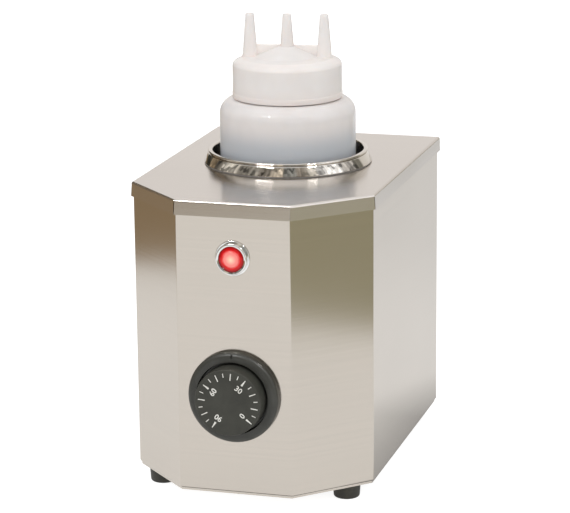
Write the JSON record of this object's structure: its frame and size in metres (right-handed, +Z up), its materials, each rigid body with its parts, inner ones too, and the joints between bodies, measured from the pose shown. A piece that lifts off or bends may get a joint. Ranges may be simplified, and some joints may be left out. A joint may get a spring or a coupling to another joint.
{
  "type": "hot fudge topping warmer",
  "caption": "Countertop warmer that keeps a squeeze bottle of hot fudge topping warm in a heated well, with a dial thermostat, a pilot lamp and a nozzle cap.",
  "frame": {"origin": "on the table, under the middle of the box that the whole warmer fills", "axes": "+Z up, front panel with dial and lamp towards -Y, +X to the right seen from the front"},
  "size_m": [0.1528, 0.247, 0.2809],
  "materials": {
    "stainless_sheet": "fine horizontal brush",
    "pot_steel": "drawn, satin",
    "collar_steel": "spun and polished",
    "silicone": "soft matt",
    "foot_rubber": "matt black",
    "heater_sheath": "dull sheath",
    "glass_wool": "glass fibre felt",
    "pad_board": "rigid insulating board",
    "zinc_steel": "zinc plated",
    "screw_steel": "stainless",
    "copper": "bare copper",
    "brass": "plain",
    "phenolic": "moulded, dark brown",
    "dial_plastic": "moulded black, silk gloss",
    "knob_plastic": "moulded black, silk gloss, white scale",
    "shaft_steel": "turned",
    "lamp_chrome": "bright",
    "lens_red": "clear red",
    "lamp_plastic": "moulded, off white",
    "gland_nylon": "moulded black",
    "block_ceramic": "glazed white",
    "bottle_plastic": "milky, soft",
    "cap_plastic": "milky, soft",
    "seal_foam": "white liner"
  },
  "bodies": {
    "housing": {"casing_wrap": "stainless_sheet", "rear_panel": "stainless_sheet", "top_cover": "stainless_sheet", "base_plate": "stainless_sheet", "well_pot": "pot_steel", "well_collar": "collar_steel", "collar_gasket": "silicone", "heater_band": "heater_sheath", "heater_clamp": "zinc_steel", "insulation_sleeve": "glass_wool", "floor_pad": "pad_board", "well_bridge": "zinc_steel", "bridge_fixing": "zinc_steel", "heat_limiter": "phenolic", "sensor_bulb": "copper", "sensor_capillary": "copper", "bulb_clip": "zinc_steel", "thermostat_body": "phenolic", "thermostat_screws": "screw_steel", "dial_bezel": "dial_plastic", "lamp_bezel": "lamp_chrome", "lamp_lens": "lens_red", "lamp_body": "lamp_plastic", "lamp_nut": "zinc_steel", "gland_body": "gland_nylon", "gland_dome_nut": "gland_nylon", "gland_seal": "silicone", "gland_lock_nut": "gland_nylon", "terminal_block": "block_ceramic", "terminal_screws": "brass", "earth_stud": "brass", "earth_nut": "brass", "foot_screws": "screw_steel", "foot_nuts": "zinc_steel", "base_screws": "screw_steel", "rear_panel_screws": "screw_steel", "cover_screws": "screw_steel", "foot_front_left": "foot_rubber", "foot_front_right": "foot_rubber", "foot_rear_left": "foot_rubber", "foot_rear_right": "foot_rubber"},
    "knob": {"dial_knob": "knob_plastic", "thermostat_shaft": "shaft_steel"},
    "bottle": {"squeeze_bottle": "bottle_plastic"},
    "seal": {"cap_seal": "seal_foam"},
    "cap": {"nozzle_cap": "cap_plastic"}
  },
  "joints": [
    {"name": "knob_turn", "type": "hinge", "parent": "housing", "child": "knob", "pos_m": [0, -0.12355, 0.0704], "axis": [0, -1, 0], "range_deg": [-147, 129]},
    {"name": "bottle_lift", "type": "slide", "parent": "housing", "child": "bottle", "axis": [0, 0, 1], "range_m": [0, 0.165]},
    {"name": "cap_lift", "type": "slide", "parent": "bottle", "child": "seal", "axis": [0, 0, 1], "range_m": [0, 0.05]},
    {"name": "cap_turn", "type": "hinge", "parent": "seal", "child": "cap", "pos_m": [0, 0.01085, 0.24], "axis": [0, 0, 1], "range_deg": [0, 450]}
  ]
}
